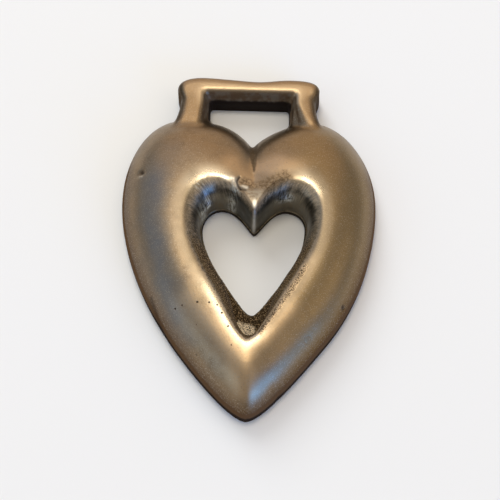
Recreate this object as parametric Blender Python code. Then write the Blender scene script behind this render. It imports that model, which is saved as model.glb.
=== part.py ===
"""Heart-shaped horse brass, one hollow-backed brass casting with a strap loop on top.

Blender 4.5, metres, +Z up.  The brass lies on its back: its front faces +Z and its
strap loop points to +Y.  The origin is on the surface that it lies on, under the
middle of its bounding box.

The heart is lofted between four closed outlines, each drawn as a left and a right
half of Bezier spans: the outer edge, the raised crest, the foot of the dish wall,
and the opening.  The strap loop is a rounded plate with a drafted slot.
"""
from collections import namedtuple
import math

import bmesh
import bpy
import numpy as np

MM = 0.001

# ---------------------------------------------------------------- driving dimensions
# All in millimetres.  x is measured from the heart's axis, y from the point where its
# flanks would meet if the tip weren't rounded, z from the surface that it lies on.

# A point on an outline: its place, the heading of travel there in degrees
# (0 is +x, 90 is +y), and how far the curve reaches before and after it.
Knot = namedtuple("Knot", "x y heading before after")

# Right and left halves, each from the notch between the lobes down to the tip.
# The left half is drawn as if it were on the right, and is mirrored.
OUTER_EDGE = {
    "right": (
        Knot(0.0, 69.0, 62, 0.0, 3.8),
        Knot(14.4, 76.5, 0, 4.5, 8.0),
        Knot(29.7, 54.3, -90, 10.9, 12.0),
        Knot(17.7, 18.5, -128, 13.5, 7.6),
        Knot(0.0, 0.6, 180, 3.8, 0.0),
    ),
    "left": (
        Knot(0.0, 69.0, 50, 0.0, 5.0),
        Knot(17.0, 76.4, 0, 11.5, 7.8),
        Knot(30.8, 54.3, -90, 12.6, 12.2),
        Knot(17.8, 18.6, -125, 12.8, 7.6),
        Knot(0.0, 0.6, 180, 3.8, 0.0),
    ),
}
CREST = {
    "right": (
        Knot(0.75, 48.9, 70, 0.0, 3.2),
        Knot(10.8, 57.3, 0, 6.2, 4.4),
        Knot(17.1, 47.2, -90, 5.2, 7.5),
        Knot(9.4, 27.5, -121, 8.0, 5.0),
        Knot(-0.2, 15.6, -164, 3.0, 0.0),
    ),
    "left": (
        Knot(-0.75, 48.9, 66, 0.0, 3.0),
        Knot(9.4, 57.6, 0, 4.8, 4.8),
        Knot(16.2, 47.6, -90, 5.2, 8.0),
        Knot(8.7, 27.5, -120, 8.0, 5.0),
        Knot(0.2, 15.6, -164, 2.2, 0.0),
    ),
}
DISH_FOOT = {
    "right": (
        Knot(0.75, 47.2, 0, 0.0, 1.2),
        Knot(8.3, 53.2, 0, 3.7, 2.9),
        Knot(13.5, 48.2, -90, 3.0, 5.6),
        Knot(6.7, 31.5, -122, 6.0, 3.6),
        Knot(0.1, 18.6, 180, 3.4, 0.0),
    ),
    "left": (
        Knot(-0.75, 47.2, 0, 0.0, 0.9),
        Knot(6.8, 53.2, 0, 4.3, 2.6),
        Knot(12.0, 47.2, -90, 3.5, 5.0),
        Knot(5.5, 31.5, -123, 5.5, 3.6),
        Knot(-0.1, 18.6, 180, 3.0, 0.0),
    ),
}
OPENING = {
    "right": (
        Knot(0.8, 46.5, 0, 0.0, 1.3),
        Knot(8.2, 52.7, 0, 3.6, 2.7),
        Knot(12.9, 48.2, -90, 2.7, 6.2),
        Knot(6.7, 33.0, -125, 5.0, 6.2),
        Knot(0.7, 26.0, 180, 1.2, 0.0),
    ),
    "left": (
        Knot(-0.8, 46.5, 0, 0.0, 0.9),
        Knot(6.8, 52.7, 0, 4.2, 2.3),
        Knot(11.4, 47.2, -90, 3.3, 4.8),
        Knot(5.2, 33.0, -124, 4.8, 5.8),
        Knot(-0.7, 26.0, 180, 1.2, 0.0),
    ),
}
SPAN_STEPS = (13, 12, 14, 12)

FLANGE_HEIGHT = 2.6        # upright side of the heart's outer edge
CREST_HEIGHT = 11.0
CLEFT_DIP = 0.7            # how much lower the crest runs between the lobes
CLEFT_DIP_WIDTH = 4.5      # half width of that dip
DISH_FLOOR_HEIGHT = 1.5
OPENING_LAND = 0.8         # thickness of the edge round the opening

# Reaches of the two curves of the section, as shares of each curve's run and rise.
DOME_LEAN = 0.15           # inward reach of the dome where it leaves the flange
DOME_STAND = 0.58          # upward reach of the dome there
DOME_FLAT = 0.56           # reach of the dome before the crest
CREST_ROUND = 0.90         # reach of the dish wall after the crest
WALL_STAND = 0.44          # upright reach of the dish wall at its foot
DOME_STEPS = 9
WALL_STEPS = 7

RIM_WALL = 2.6             # thickness of the outer rim at the back
CREST_WALL = 2.3           # thickness of the metal under the crest
CREST_WALL_SHIFT = 1.8     # how far the hollow's top lies outside the crest
DISH_WALL = 1.7            # thickness of the metal behind the dish's foot
CUTTER_OVERRUN = 2.0

# Outer edge of the strap loop, from the foot of its left post over the top.
LOOP_FOOT_Y = 70.5
LOOP_EDGE = (
    Knot(-20.6, LOOP_FOOT_Y, 75, 0.0, 4.0),
    Knot(-18.1, 79.5, 92, 3.5, 1.6),
    Knot(-18.8, 83.6, 90, 1.6, 1.8),
    Knot(-12.5, 87.0, 0, 4.6, 4.0),
    Knot(1.0, 86.2, 0, 4.0, 3.0),
    Knot(9.0, 86.9, 0, 3.0, 5.0),
    Knot(16.3, 83.4, -90, 2.8, 1.8),
    Knot(15.3, 79.0, -90, 1.6, 3.5),
    Knot(17.8, LOOP_FOOT_Y, -75, 4.0, 0.0),
)
LOOP_SPAN_STEPS = 6
LOOP_DEPTH = 7.0
LOOP_ROUND = 1.8           # rounding of the loop's front edges
LOOP_ROUND_STEPS = 3
LOOP_BACK_ROUND = 0.3

SLOT_LEFT = -10.7
SLOT_RIGHT = 8.8
SLOT_TOP = 81.2
SLOT_CORNER = 1.0
SLOT_KNEE_Y = 79.8
LEFT_FOOT_SHARE = 0.25
CORNER_STEPS = 4

# How far the slot has opened on each side at each height: upright in its back half,
# drafted in its front half, and rounded at its mouth.  Below the knee its right side
# leans out toward the foot of the post, by foot at the slot's lower end, and its left
# side by a share of that.
SlotStep = namedtuple("SlotStep", "flare foot height")
SLOT_PROFILE = (
    SlotStep(0.0, 0.0, -CUTTER_OVERRUN),
    SlotStep(0.0, 0.0, 3.3),
    SlotStep(1.1, 3.2, 6.0),
    SlotStep(1.5, 4.6, 6.7),
    SlotStep(2.3, 5.6, 7.05),
    SlotStep(2.3, 5.6, LOOP_DEPTH + CUTTER_OVERRUN),
)

BRASS_COLOUR = (0.36, 0.25, 0.13, 1.0)
BRASS_ROUGHNESS = 0.38
SHARP_ANGLE = math.radians(40)

CENTRE_X = (OUTER_EDGE["right"][2].x - OUTER_EDGE["left"][2].x) / 2
CENTRE_Y = (OUTER_EDGE["right"][-1].y + max(knot.y for knot in LOOP_EDGE)) / 2


# ---------------------------------------------------------------- outlines
def heading_vector(knot):
    angle = math.radians(knot.heading)
    return np.array((math.cos(angle), math.sin(angle)))


def bezier(a, b, c, d, t):
    return (1 - t) ** 3 * a + 3 * (1 - t) ** 2 * t * b + 3 * (1 - t) * t ** 2 * c + t ** 3 * d


def trace(knots, steps):
    """Points along the Bezier spans between knots, without the last knot."""
    points = []
    for start, end, count in zip(knots, knots[1:], steps):
        a = np.array((start.x, start.y))
        d = np.array((end.x, end.y))
        b = a + start.after * heading_vector(start)
        c = d - end.before * heading_vector(end)
        points += [bezier(a, b, c, d, i / count) for i in range(count)]
    return np.array(points)


def closed_outline(halves):
    """One closed ring: notch, right side, tip, left side, back to the notch."""
    right = trace(halves["right"], SPAN_STEPS)
    left = trace(halves["left"], SPAN_STEPS) * (-1, 1)
    tip = np.array([(halves["right"][-1].x, halves["right"][-1].y)])
    return np.vstack((right, tip, left[:0:-1]))


def toward(start, end, distance):
    """Each point of start, moved that distance toward its partner in end."""
    step = end - start
    return start + step / np.linalg.norm(step, axis=1, keepdims=True) * distance


def with_height(ring, height):
    heights = np.broadcast_to(height, len(ring))
    return np.column_stack((ring, heights))


def section_rings(start, end, reach_start, reach_end, steps):
    """Rings on one Bezier per ray, from start to end, without start itself."""
    return [bezier(start, reach_start, reach_end, end, i / steps) for i in range(1, steps + 1)]


# ---------------------------------------------------------------- meshes
def place(points):
    """Drawing coordinates in millimetres to the part's frame in metres."""
    return (np.asarray(points) - (CENTRE_X, CENTRE_Y, 0.0)) * MM


def add_object(name, bm, collection):
    bmesh.ops.recalc_face_normals(bm, faces=bm.faces)
    mesh = bpy.data.meshes.new(name)
    bm.to_mesh(mesh)
    bm.free()
    obj = bpy.data.objects.new(name, mesh)
    collection.objects.link(obj)
    return obj


def join_rings(bm, rings, closed):
    """Quads between neighbouring rings; closed also joins the last to the first."""
    rows = [[bm.verts.new(point) for point in place(ring)] for ring in rings]
    pairs = list(zip(rows, rows[1:]))
    if closed:
        pairs.append((rows[-1], rows[0]))
    for lower, upper in pairs:
        count = len(lower)
        for i in range(count):
            j = (i + 1) % count
            bm.faces.new((lower[i], lower[j], upper[j], upper[i]))
    return rows


# ---------------------------------------------------------------- the heart
def crest_heights(crest):
    """Height of the crest on each ray, with the dip between the lobes."""
    above_widest = crest[:, 1] > CREST["right"][2].y
    dip = CLEFT_DIP * np.exp(-((crest[:, 0] / CLEFT_DIP_WIDTH) ** 2))
    return CREST_HEIGHT - np.where(above_widest, dip, 0.0)


def split_run_and_rise(start, end):
    """The level part and the upright part of each ray's step from start to end."""
    run = end - start
    rise = np.zeros_like(run)
    rise[:, 2] = run[:, 2]
    run[:, 2] = 0.0
    return run, rise


def dome_section(edge, top):
    """Rings from the top of the flange up the dome to the crest."""
    run, rise = split_run_and_rise(edge, top)
    leaving = edge + run * DOME_LEAN + rise * DOME_STAND
    return section_rings(edge, top, leaving, top - run * DOME_FLAT, DOME_STEPS)


def dish_section(top, foot):
    """Rings from the crest over its rounding and down the dish wall to its foot."""
    run, rise = split_run_and_rise(top, foot)
    arriving = foot - rise * WALL_STAND
    return section_rings(top, foot, top + run * CREST_ROUND, arriving, WALL_STEPS)


def build_heart(collection):
    edge = closed_outline(OUTER_EDGE)
    crest = closed_outline(CREST)
    foot = closed_outline(DISH_FOOT)
    opening = closed_outline(OPENING)
    flange = with_height(edge, FLANGE_HEIGHT)
    top = with_height(crest, crest_heights(crest))
    floor = with_height(foot, DISH_FLOOR_HEIGHT)
    rings = [with_height(edge, 0.0), flange]
    rings += dome_section(flange, top)
    rings += dish_section(top, floor)
    rings += [with_height(opening, OPENING_LAND), with_height(opening, 0.0)]
    bm = bmesh.new()
    join_rings(bm, rings, closed=True)
    return add_object("horse_brass", bm, collection)


def build_hollow(collection):
    """The channel round the opening that makes the back hollow."""
    edge = closed_outline(OUTER_EDGE)
    crest = closed_outline(CREST)
    foot = closed_outline(DISH_FOOT)
    outer = toward(edge, crest, RIM_WALL)
    inner = toward(foot, crest, DISH_WALL)
    ridge = toward(crest, edge, CREST_WALL_SHIFT)
    top = with_height(ridge, crest_heights(crest) - CREST_WALL)
    rings = [with_height(outer, -CUTTER_OVERRUN), with_height(outer, 0.0)]
    rings += dome_section(rings[-1], top)
    rings += dish_section(top, with_height(inner, 0.0))
    rings.append(with_height(inner, -CUTTER_OVERRUN))
    bm = bmesh.new()
    join_rings(bm, rings, closed=True)
    return add_object("hollow_cutter", bm, collection)


# ---------------------------------------------------------------- the strap loop
def inward(path, distance):
    """An open path that travels clockwise round a shape, moved to its right."""
    ahead = np.gradient(path, axis=0)
    ahead /= np.linalg.norm(ahead, axis=1, keepdims=True)
    return path + np.column_stack((ahead[:, 1], -ahead[:, 0])) * distance


def build_loop(collection):
    steps = [LOOP_SPAN_STEPS] * (len(LOOP_EDGE) - 1)
    last = np.array([(LOOP_EDGE[-1].x, LOOP_EDGE[-1].y)])
    outline = np.vstack((trace(LOOP_EDGE, steps), last))
    rings = [
        with_height(inward(outline, LOOP_BACK_ROUND), 0.0),
        with_height(outline, LOOP_BACK_ROUND),
        with_height(outline, LOOP_DEPTH - LOOP_ROUND),
    ]
    for i in range(1, LOOP_ROUND_STEPS + 1):
        turn = math.pi / 2 * i / LOOP_ROUND_STEPS
        shift = LOOP_ROUND * (1 - math.cos(turn))
        height = LOOP_DEPTH - LOOP_ROUND * (1 - math.sin(turn))
        rings.append(with_height(inward(outline, shift), height))
    bm = bmesh.new()
    rows = join_rings(bm, rings, closed=False)
    bm.faces.new(rows[0])
    bm.faces.new(rows[-1])
    return add_object("loop_plate", bm, collection)


def slot_ring(step):
    """A rounded slot from below the notch to the bar's inner face, wider at its foot."""
    left = SLOT_LEFT - step.flare
    right = SLOT_RIGHT + step.flare
    top = SLOT_TOP + step.flare
    bottom = LOOP_FOOT_Y - CUTTER_OVERRUN
    points = [
        (right, SLOT_KNEE_Y),
        (right + step.foot, bottom),
        (left - step.foot * LEFT_FOOT_SHARE, bottom),
        (left, SLOT_KNEE_Y),
    ]
    for centre_x, first in ((left + SLOT_CORNER, 180), (right - SLOT_CORNER, 90)):
        for i in range(CORNER_STEPS + 1):
            angle = math.radians(first - 90 * i / CORNER_STEPS)
            x = centre_x + SLOT_CORNER * math.cos(angle)
            y = top - SLOT_CORNER + SLOT_CORNER * math.sin(angle)
            points.append((x, y))
    return with_height(np.array(points), step.height)


def build_slot(collection):
    rings = [slot_ring(step) for step in SLOT_PROFILE]
    bm = bmesh.new()
    rows = join_rings(bm, rings, closed=False)
    bm.faces.new(rows[0])
    bm.faces.new(rows[-1])
    return add_object("slot_cutter", bm, collection)


# ---------------------------------------------------------------- assembly
def add_boolean(obj, cutter, operation):
    modifier = obj.modifiers.new(f"{operation.lower()}_{cutter.name}", "BOOLEAN")
    modifier.operation = operation
    modifier.solver = "EXACT"
    modifier.object = cutter
    cutter.hide_render = True
    cutter.display_type = "WIRE"


def brass_material():
    material = bpy.data.materials.new("aged_brass")
    material.use_nodes = True
    shader = material.node_tree.nodes["Principled BSDF"]
    shader.inputs["Base Color"].default_value = BRASS_COLOUR
    shader.inputs["Metallic"].default_value = 1.0
    shader.inputs["Roughness"].default_value = BRASS_ROUGHNESS
    return material


def main():
    for obj in list(bpy.data.objects):
        bpy.data.objects.remove(obj)
    parts = bpy.data.collections.new("horse_brass")
    cutters = bpy.data.collections.new("cutters")
    bpy.context.scene.collection.children.link(parts)
    bpy.context.scene.collection.children.link(cutters)

    heart = build_heart(parts)
    loop = build_loop(cutters)
    add_boolean(loop, build_slot(cutters), "DIFFERENCE")
    add_boolean(heart, loop, "UNION")
    add_boolean(heart, build_hollow(cutters), "DIFFERENCE")
    heart.data.materials.append(brass_material())
    heart.data.shade_smooth()
    heart.data.set_sharp_from_angle(angle=SHARP_ANGLE)


main()
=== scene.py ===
# %% [markdown]
# # A heart-shaped horse brass
#
# A horse brass is a small plate that hangs on a working horse's harness. This one is
# cast in brass as one piece: a puffed heart round a heart-shaped opening, hollow
# behind, with a loop on top for the strap. The lesson builds the worn surface of that
# casting, its aged finish, and a plain table with soft light to look at it.
#
# The part's measured frame comes first. It says how big the casting is and where it
# lies.

# %% Load the frame
import math
from collections import namedtuple
from contextlib import contextmanager

import bmesh
import bpy
import numpy as np
from mathutils import Matrix, Vector, kdtree, noise
from mathutils.bvhtree import BVHTree


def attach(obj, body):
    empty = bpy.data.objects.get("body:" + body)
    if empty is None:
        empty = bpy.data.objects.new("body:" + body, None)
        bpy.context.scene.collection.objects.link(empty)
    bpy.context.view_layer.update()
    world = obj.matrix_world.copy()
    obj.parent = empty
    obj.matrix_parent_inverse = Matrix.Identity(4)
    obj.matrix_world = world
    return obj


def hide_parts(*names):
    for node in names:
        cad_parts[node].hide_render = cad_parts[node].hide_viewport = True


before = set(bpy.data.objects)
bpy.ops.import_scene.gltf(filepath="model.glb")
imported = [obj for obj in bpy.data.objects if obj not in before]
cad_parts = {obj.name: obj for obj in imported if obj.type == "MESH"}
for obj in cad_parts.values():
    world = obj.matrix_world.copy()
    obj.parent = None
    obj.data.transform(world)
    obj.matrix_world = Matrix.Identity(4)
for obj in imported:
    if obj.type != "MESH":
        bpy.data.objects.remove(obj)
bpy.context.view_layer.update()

# %% [markdown]
# ## Outlines of the heart
#
# A foundry pattern is drawn before it is carved. The heart's pattern needs four closed
# lines: the outer edge, the raised crest, the foot of the dish, and the opening. Each
# line is a few knots with headings, and Bezier spans between them, so that one row of
# numbers says where the curve goes and how it turns. A hand-filed heart is never quite
# even, so the left half has its own knots, drawn on the right and mirrored.

# %% Knots and spans
MM = 0.001

Knot = namedtuple("Knot", "x y heading before after")


def knots(*rows):
    return [Knot(*row) for row in rows]


EDGE_RIGHT = knots(
    (0, 69, 62, 0, 3.8),
    (14.4, 76.5, 0, 4.5, 8),
    (29.7, 54.3, -90, 10.9, 12),
    (17.7, 18.5, -128, 13.5, 7.6),
    (0, 0.6, 180, 3.8, 0),
)
EDGE_LEFT = knots(
    (0, 69, 50, 0, 5),
    (17, 76.4, 0, 11.5, 7.8),
    (30.8, 54.3, -90, 12.6, 12.2),
    (17.8, 18.6, -125, 12.8, 7.6),
    (0, 0.6, 180, 3.8, 0),
)
CREST_RIGHT = knots(
    (0.75, 48.9, 70, 0, 3.2),
    (10.8, 57.3, 0, 6.2, 4.4),
    (17.1, 47.2, -90, 5.2, 7.5),
    (9.4, 27.5, -121, 8, 5),
    (-0.2, 15.6, -164, 3, 0),
)
CREST_LEFT = knots(
    (-0.75, 48.9, 66, 0, 3),
    (9.4, 57.6, 0, 4.8, 4.8),
    (16.2, 47.6, -90, 5.2, 8),
    (8.7, 27.5, -120, 8, 5),
    (0.2, 15.6, -164, 2.2, 0),
)
FOOT_RIGHT = knots(
    (0.75, 47.2, 0, 0, 1.2),
    (8.3, 53.2, 0, 3.7, 2.9),
    (13.5, 48.2, -90, 3, 5.6),
    (6.7, 31.5, -122, 6, 3.6),
    (0.1, 18.6, 180, 3.4, 0),
)
FOOT_LEFT = knots(
    (-0.75, 47.2, 0, 0, 0.9),
    (6.8, 53.2, 0, 4.3, 2.6),
    (12, 47.2, -90, 3.5, 5),
    (5.5, 31.5, -123, 5.5, 3.6),
    (-0.1, 18.6, 180, 3, 0),
)
OPENING_RIGHT = knots(
    (0.8, 46.5, 0, 0, 1.3),
    (8.2, 52.7, 0, 3.6, 2.7),
    (12.9, 48.2, -90, 2.7, 6.2),
    (6.7, 33, -125, 5, 6.2),
    (0.7, 26, 180, 1.2, 0),
)
OPENING_LEFT = knots(
    (-0.8, 46.5, 0, 0, 0.9),
    (6.8, 52.7, 0, 4.2, 2.3),
    (11.4, 47.2, -90, 3.3, 4.8),
    (5.2, 33, -124, 4.8, 5.8),
    (-0.7, 26, 180, 1.2, 0),
)
SPAN_STEPS = (56, 60, 72, 52)


def heading_vector(knot):
    angle = math.radians(knot.heading)
    return np.array((math.cos(angle), math.sin(angle)))


def bezier(a, b, c, d, t):
    return (1 - t) ** 3 * a + 3 * (1 - t) ** 2 * t * b + 3 * (1 - t) * t ** 2 * c + t ** 3 * d


def trace(knots, steps):
    """Points along the Bezier spans between knots, without the last knot."""
    points = []
    for start, end, count in zip(knots, knots[1:], steps):
        a = np.array(start[:2])
        d = np.array(end[:2])
        b = a + start.after * heading_vector(start)
        c = d - end.before * heading_vector(end)
        points += [bezier(a, b, c, d, i / count) for i in range(count)]
    return np.array(points)


def closed_outline(right_knots, left_knots):
    """One closed ring: notch, right side, tip, left side."""
    right = trace(right_knots, SPAN_STEPS)
    left = trace(left_knots, SPAN_STEPS) * (-1, 1)
    return np.vstack((right, right_knots[-1][:2], left[:0:-1]))


edge_line = closed_outline(EDGE_RIGHT, EDGE_LEFT)
crest_line = closed_outline(CREST_RIGHT, CREST_LEFT)
foot_line = closed_outline(FOOT_RIGHT, FOOT_LEFT)
opening_line = closed_outline(OPENING_RIGHT, OPENING_LEFT)
print("points on each outline:", len(edge_line))

# %% [markdown]
# ## The puffed heart
#
# Between the outlines the metal rises as a dome, rounds over the crest, and drops down
# the steep wall of the dish to a thin edge at the opening. One section curve per ray
# gives that profile, and rings of points on all the rays make a skin of even squares.
# A lofted skin keeps the sweep of a filed surface, which a subdivided box would not.

# %% Loft the heart
FLANGE_HEIGHT = 2.6
CREST_HEIGHT = 11
CLEFT_DIP = 0.7
CLEFT_DIP_WIDTH = 4.5
DISH_FLOOR_HEIGHT = 1.5
OPENING_LAND = 0.8
DOME_LEAN = 0.15
DOME_STAND = 0.58
DOME_FLAT = 0.56
CREST_ROUND = 0.9
WALL_STAND = 0.44
LEVEL = (1, 1, 0)
UPRIGHT = (0, 0, 1)
FLANGE_STEPS = 8
DOME_STEPS = 56
WALL_STEPS = 40
FLOOR_STEPS = 12
LAND_STEPS = 3
BACK_STEPS = 10


def with_height(ring, height):
    return np.column_stack((ring, np.broadcast_to(height, len(ring))))


def section_rings(start, leaving, arriving, end, steps):
    """Rings on one Bezier per ray, from start to end, without start itself."""
    return [bezier(start, leaving, arriving, end, i / steps) for i in range(1, steps + 1)]


def straight_rings(start, end, steps):
    return [start + (end - start) * i / steps for i in range(1, steps + 1)]


def dome_section(edge, top, steps):
    run, rise = (top - edge) * LEVEL, (top - edge) * UPRIGHT
    leaving = edge + run * DOME_LEAN + rise * DOME_STAND
    return section_rings(edge, leaving, top - run * DOME_FLAT, top, steps)


def dish_section(top, foot, steps):
    run, rise = (foot - top) * LEVEL, (foot - top) * UPRIGHT
    return section_rings(top, top + run * CREST_ROUND, foot - rise * WALL_STAND, foot, steps)


def crest_heights(crest):
    above_widest = crest[:, 1] > CREST_RIGHT[2].y
    dip = CLEFT_DIP * np.exp(-((crest[:, 0] / CLEFT_DIP_WIDTH) ** 2))
    return CREST_HEIGHT - np.where(above_widest, dip, 0)


base = with_height(edge_line, 0)
flange = with_height(edge_line, FLANGE_HEIGHT)
top = with_height(crest_line, crest_heights(crest_line))
floor = with_height(foot_line, DISH_FLOOR_HEIGHT)
lip = with_height(opening_line, OPENING_LAND)
inner_base = with_height(opening_line, 0)

heart_rings = [base]
heart_zones = [0]
for zone, rings in enumerate((
    straight_rings(base, flange, FLANGE_STEPS),
    dome_section(flange, top, DOME_STEPS),
    dish_section(top, floor, WALL_STEPS),
    straight_rings(floor, lip, FLOOR_STEPS),
    straight_rings(lip, inner_base, LAND_STEPS),
    straight_rings(inner_base, base, BACK_STEPS)[:-1],
)):
    heart_rings += rings
    heart_zones += [zone + (i + 1) / len(rings) for i in range(len(rings))]
heart_grid = np.array(heart_rings)
heart_zones = np.array(heart_zones)
print("rings and rays of the heart:", heart_grid.shape[:2])

# %% [markdown]
# ## The strap loop
#
# The loop is a stout plate with a slot. Its front edges are rounded by wear, and the
# slot is drafted: the front half flares open so that the pattern would leave the sand,
# and the back half is upright. The outline is again a few knots, and the slot is cut
# with a Boolean, as it would be from a solid pattern.

# %% Outline of the loop, profile of the slot
LOOP_FOOT_Y = 70.5
LOOP_EDGE = knots(
    (-20.6, LOOP_FOOT_Y, 75, 0, 4),
    (-18.1, 79.5, 92, 3.5, 1.6),
    (-18.8, 83.6, 90, 1.6, 1.8),
    (-12.5, 87, 0, 4.6, 4),
    (1, 86.2, 0, 4, 3),
    (9, 86.9, 0, 3, 5),
    (16.3, 83.4, -90, 2.8, 1.8),
    (15.3, 79, -90, 1.6, 3.5),
    (17.8, LOOP_FOOT_Y, -75, 4, 0),
)
LOOP_SPAN_STEPS = 18
LOOP_DEPTH = 7
LOOP_ROUND = 1.8
LOOP_BACK_ROUND = 0.3
LOOP_ROUND_STEPS = 8

SLOT_LEFT = -10.7
SLOT_RIGHT = 8.8
SLOT_TOP = 81.2
SLOT_CORNER = 1
SLOT_KNEE_Y = 79.8
LEFT_FOOT_SHARE = 0.25
SLOT_CORNER_STEPS = 8
CUTTER_OVERRUN = 2

SLOT_PROFILE = (  # flare, spread of the foot, height
    (0, 0, -CUTTER_OVERRUN),
    (0, 0, 3.3),
    (1.1, 3.2, 6),
    (1.5, 4.6, 6.7),
    (2.3, 5.6, 7.05),
    (2.3, 5.6, LOOP_DEPTH + CUTTER_OVERRUN),
)

# %% From drawings to meshes in the part's frame
CENTRE_X = (EDGE_RIGHT[2].x - EDGE_LEFT[2].x) / 2
CENTRE_Y = (EDGE_RIGHT[-1].y + max(knot.y for knot in LOOP_EDGE)) / 2
print("middle of the drawing in mm:", round(CENTRE_X, 2), round(CENTRE_Y, 2))


def place(points):
    """Drawing coordinates in millimetres to the part's frame in metres."""
    return (np.asarray(points) - (CENTRE_X, CENTRE_Y, 0)) * MM


def grid_faces(rows, columns, closed):
    """Quads of a skin of rows by columns points, whose rows are closed rings."""
    faces = []
    for i in range(rows if closed else rows - 1):
        low = i * columns
        high = (i + 1) % rows * columns
        for j in range(columns):
            k = (j + 1) % columns
            faces.append((low + j, low + k, high + k, high + j))
    return faces


def add_object(name, data):
    obj = bpy.data.objects.new(name, data)
    bpy.context.scene.collection.objects.link(obj)
    return obj


@contextmanager
def edited(mesh):
    """The mesh as a BMesh to work on, written back at the end."""
    bm = bmesh.new()
    bm.from_mesh(mesh)
    yield bm
    bm.to_mesh(mesh)
    bm.free()


def mesh_object(name, points, faces):
    mesh = bpy.data.meshes.new(name)
    mesh.from_pydata(place(points).tolist(), [], faces)
    with edited(mesh) as bm:
        bmesh.ops.recalc_face_normals(bm, faces=bm.faces)
    return add_object(name, mesh)


def capped_loft(name, rings):
    columns = len(rings[0])
    faces = grid_faces(len(rings), columns, closed=False)
    faces.append(tuple(range(columns)))
    faces.append(tuple((len(rings) - 1) * columns + i for i in range(columns)))
    return mesh_object(name, np.vstack(rings), faces)

# %% Rings of the loop and of the slot's cutter
def inward(path, distance):
    """An open path that travels clockwise round a shape, moved to its right."""
    ahead = np.gradient(path, axis=0)
    ahead /= np.linalg.norm(ahead, axis=1, keepdims=True)
    return path + np.column_stack((ahead[:, 1], -ahead[:, 0])) * distance


def loop_rings():
    steps = [LOOP_SPAN_STEPS] * (len(LOOP_EDGE) - 1)
    outline = np.vstack((trace(LOOP_EDGE, steps), LOOP_EDGE[-1][:2]))
    rings = [
        with_height(inward(outline, LOOP_BACK_ROUND), 0),
        with_height(outline, LOOP_BACK_ROUND),
        with_height(outline, LOOP_DEPTH - LOOP_ROUND),
    ]
    for i in range(1, LOOP_ROUND_STEPS + 1):
        turn = math.pi / 2 * i / LOOP_ROUND_STEPS
        shift = LOOP_ROUND * (1 - math.cos(turn))
        height = LOOP_DEPTH - LOOP_ROUND * (1 - math.sin(turn))
        rings.append(with_height(inward(outline, shift), height))
    return rings


def slot_ring(flare, foot, height):
    """A rounded slot from below the notch to the bar's inner face, wider at its foot."""
    left = SLOT_LEFT - flare
    right = SLOT_RIGHT + flare
    upper = SLOT_TOP + flare
    lower = LOOP_FOOT_Y - CUTTER_OVERRUN
    points = [
        (right, SLOT_KNEE_Y),
        (right + foot, lower),
        (left - foot * LEFT_FOOT_SHARE, lower),
        (left, SLOT_KNEE_Y),
    ]
    for centre_x, first in ((left + SLOT_CORNER, 180), (right - SLOT_CORNER, 90)):
        for i in range(SLOT_CORNER_STEPS + 1):
            angle = math.radians(first - 90 * i / SLOT_CORNER_STEPS)
            x = centre_x + SLOT_CORNER * math.cos(angle)
            y = upper - SLOT_CORNER + SLOT_CORNER * math.sin(angle)
            points.append((x, y))
    return with_height(np.array(points), height)

# %% Cut the slot
def bake_modifiers(obj):
    """Replace an object's mesh with what its modifiers make of it."""
    bpy.context.view_layer.update()
    evaluated = obj.evaluated_get(bpy.context.evaluated_depsgraph_get())
    mesh = bpy.data.meshes.new_from_object(evaluated)
    obj.modifiers.clear()
    obj.data = mesh


def boolean(obj, tool, operation):
    modifier = obj.modifiers.new(operation, "BOOLEAN")
    modifier.operation = operation
    modifier.solver = "EXACT"
    modifier.object = tool
    bake_modifiers(obj)
    bpy.data.objects.remove(tool)


def surface_tree(obj):
    with edited(obj.data) as bm:
        return BVHTree.FromBMesh(bm)


heart = mesh_object(
    "heart",
    heart_grid.reshape(-1, 3),
    grid_faces(len(heart_grid), len(edge_line), closed=True),
)
loop = capped_loft("strap_loop", loop_rings())
slot_cutter = capped_loft("slot", [slot_ring(*row) for row in SLOT_PROFILE])
slot_tree = surface_tree(slot_cutter)
boolean(loop, slot_cutter, "DIFFERENCE")
print("faces of heart and loop:", len(heart.data.polygons), len(loop.data.polygons))

# %% [markdown]
# ## One casting
#
# The loop and the heart were poured together, so the metal runs round the corner
# between them in a small fillet. A voxel remesh of the joined shapes gives one even
# skin of small squares, whose points are drawn back onto the shapes. Then the points in
# the corner are averaged with their neighbours, as a moulder rubs wax into a corner of
# the pattern. A bevel could not follow this seam, because the dome meets the posts at a
# changing angle.

# %% Join heart and loop in one even skin
VOXEL = 0.34

heart_tree = surface_tree(heart)
loop_tree = surface_tree(loop)
brass = add_object("horse_brass_worn", heart.data.copy())
boolean(brass, loop, "UNION")
joined_tree = surface_tree(brass)
remesh = brass.modifiers.new("even_skin", "REMESH")
remesh.mode = "VOXEL"
remesh.voxel_size = VOXEL * MM
bake_modifiers(brass)
for vertex in brass.data.vertices:
    vertex.co = joined_tree.find_nearest(vertex.co)[0]
print("squares in the skin:", len(brass.data.polygons))

# %% Rub a fillet into the corner
SEAM_REACH = 1.3
SEAM_ROUNDS = 14
EDGE_ROUNDS = 1
FLAT_BACK = 0.5


def ramp(value, low, high):
    """0 below low, 1 above high, smooth between."""
    share = np.clip((value - low) / (high - low), 0, 1)
    return share * share * (3 - 2 * share)


def read(items, field, width, kind=float):
    flat = np.empty(len(items) * width, kind)
    items.foreach_get(field, flat)
    return flat.reshape(-1, width)


def read_points():
    """The casting's points in drawing millimetres, and the two ends of each edge."""
    points = read(brass.data.vertices, "co", 3) / MM + (CENTRE_X, CENTRE_Y, 0)
    return points, read(brass.data.edges, "vertices", 2, np.int64)


def write_points(points):
    brass.data.vertices.foreach_set("co", place(points).ravel())
    brass.data.update()


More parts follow.
